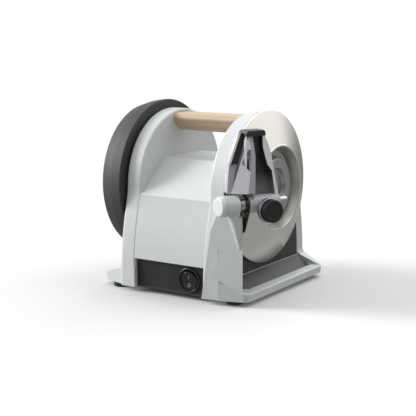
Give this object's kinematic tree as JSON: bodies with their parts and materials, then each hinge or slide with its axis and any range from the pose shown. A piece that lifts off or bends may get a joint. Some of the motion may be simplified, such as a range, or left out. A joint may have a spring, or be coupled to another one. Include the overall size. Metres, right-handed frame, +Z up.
{
  "type": "bench knife sharpener",
  "caption": "Bench knife sharpener: a dished diamond wheel and a honing wheel on one geared spindle in a white cast housing, with a wooden carrying handle and a tilting knife guide.",
  "frame": {"origin": "centre of the bounding box's footprint, at the soles of the feet", "axes": "+X along the spindle towards the diamond wheel, -Y towards the switch side, +Z up"},
  "size_m": [0.2, 0.1838, 0.1825],
  "materials": {
    "white_paint": "satin powder coat",
    "black_plastic": "fine matt grain",
    "dark_sheet": "satin dark coat",
    "beech": "oiled",
    "rubber": "matt",
    "steel": "turned",
    "diamond_face": "fine diamond coat, turned",
    "nut_steel": "ribbed",
    "honing_compound": "matt, turned",
    "gear_steel": "machined",
    "bearing_steel": "ground",
    "bronze": "machined",
    "gloss_black": "satin",
    "board": "lacquer",
    "rotor_iron": "laminated",
    "die_cast_zinc": "fine blasted",
    "scale_white": "printed ticks"
  },
  "bodies": {
    "housing": {"left_frame": "white_paint", "right_frame": "white_paint", "guide_base": "white_paint", "centre_hood": "white_paint", "front_panel": "black_plastic", "rear_panel": "black_plastic", "base_plate": "dark_sheet", "splash_plate": "dark_sheet", "inner_plate": "dark_sheet", "dust_tray": "dark_sheet", "carry_handle": "beech", "handle_screws": "steel", "feet": "rubber", "foot_screws": "steel", "switch_bezel": "gloss_black", "power_inlet": "gloss_black", "inlet_pins": "bronze", "control_board": "board", "bearing_left": "bearing_steel", "bearing_right": "bearing_steel", "layshaft_bushes": "bronze", "motor_can": "steel", "motor_magnets": "rotor_iron", "motor_end_cap": "black_plastic", "gearbox_plate_left": "steel", "gearbox_plate_right": "steel", "gearbox_pillars": "steel", "guide_shaft": "steel", "shaft_cap": "white_paint", "thrust_washers": "steel", "shaft_nut": "steel", "angle_pointer": "black_plastic"},
    "spindle_set": {"spindle": "steel", "diamond_wheel": "diamond_face", "wheel_flange": "steel", "wheel_lock_nut": "nut_steel", "honing_wheel": "honing_compound", "honing_flanges": "steel", "honing_nut": "steel", "output_gear": "gear_steel"},
    "layshaft_set": {"layshaft": "steel", "layshaft_pinion": "gear_steel", "layshaft_gear": "gear_steel"},
    "rotor_set": {"motor_pinion": "gear_steel", "motor_rotor": "rotor_iron"},
    "rocker": {"rocker_key": "gloss_black"},
    "knife_guide": {"guide_frame": "die_cast_zinc", "guide_saddle": "black_plastic", "guide_foot_pad": "rubber", "scale_plate": "scale_white", "knob_collar": "die_cast_zinc"},
    "knob_set": {"angle_knob": "gloss_black", "knob_screw": "steel"}
  },
  "joints": [
    {"name": "spindle_spin", "type": "hinge", "parent": "housing", "child": "spindle_set", "pos_m": [0.05278, 0.00736, 0.102], "axis": [1, 0, 0], "continuous": true},
    {"name": "layshaft_spin", "type": "hinge", "parent": "housing", "child": "layshaft_set", "pos_m": [0.05278, 0.02645, 0.08291], "axis": [1, 0, 0], "continuous": true},
    {"name": "rotor_spin", "type": "hinge", "parent": "housing", "child": "rotor_set", "pos_m": [0.05278, 0.00444, 0.06727], "axis": [1, 0, 0], "continuous": true},
    {"name": "rocker_tip", "type": "hinge", "parent": "housing", "child": "rocker", "pos_m": [0.01478, -0.07164, 0.0192], "axis": [-1, 0, 0], "range_deg": [0, 16]},
    {"name": "guide_tilt", "type": "hinge", "parent": "housing", "child": "knife_guide", "pos_m": [0.07648, -0.0454, 0.096], "axis": [0.4099, 0.9121, 0], "range_deg": [-7, 7]},
    {"name": "knob_turn", "type": "hinge", "parent": "knife_guide", "child": "knob_set", "pos_m": [0.09236, -0.05276, 0.0908], "axis": [0.9121, -0.4099, 0], "range_deg": [-140, 140]}
  ],
  "couplings": [
    {"joint": "layshaft_spin", "follows": "spindle_spin", "ratio": -2.8571},
    {"joint": "rotor_spin", "follows": "spindle_spin", "ratio": 8.1633},
    {"joint": "knob_turn", "follows": "guide_tilt", "ratio": 20}
  ]
}
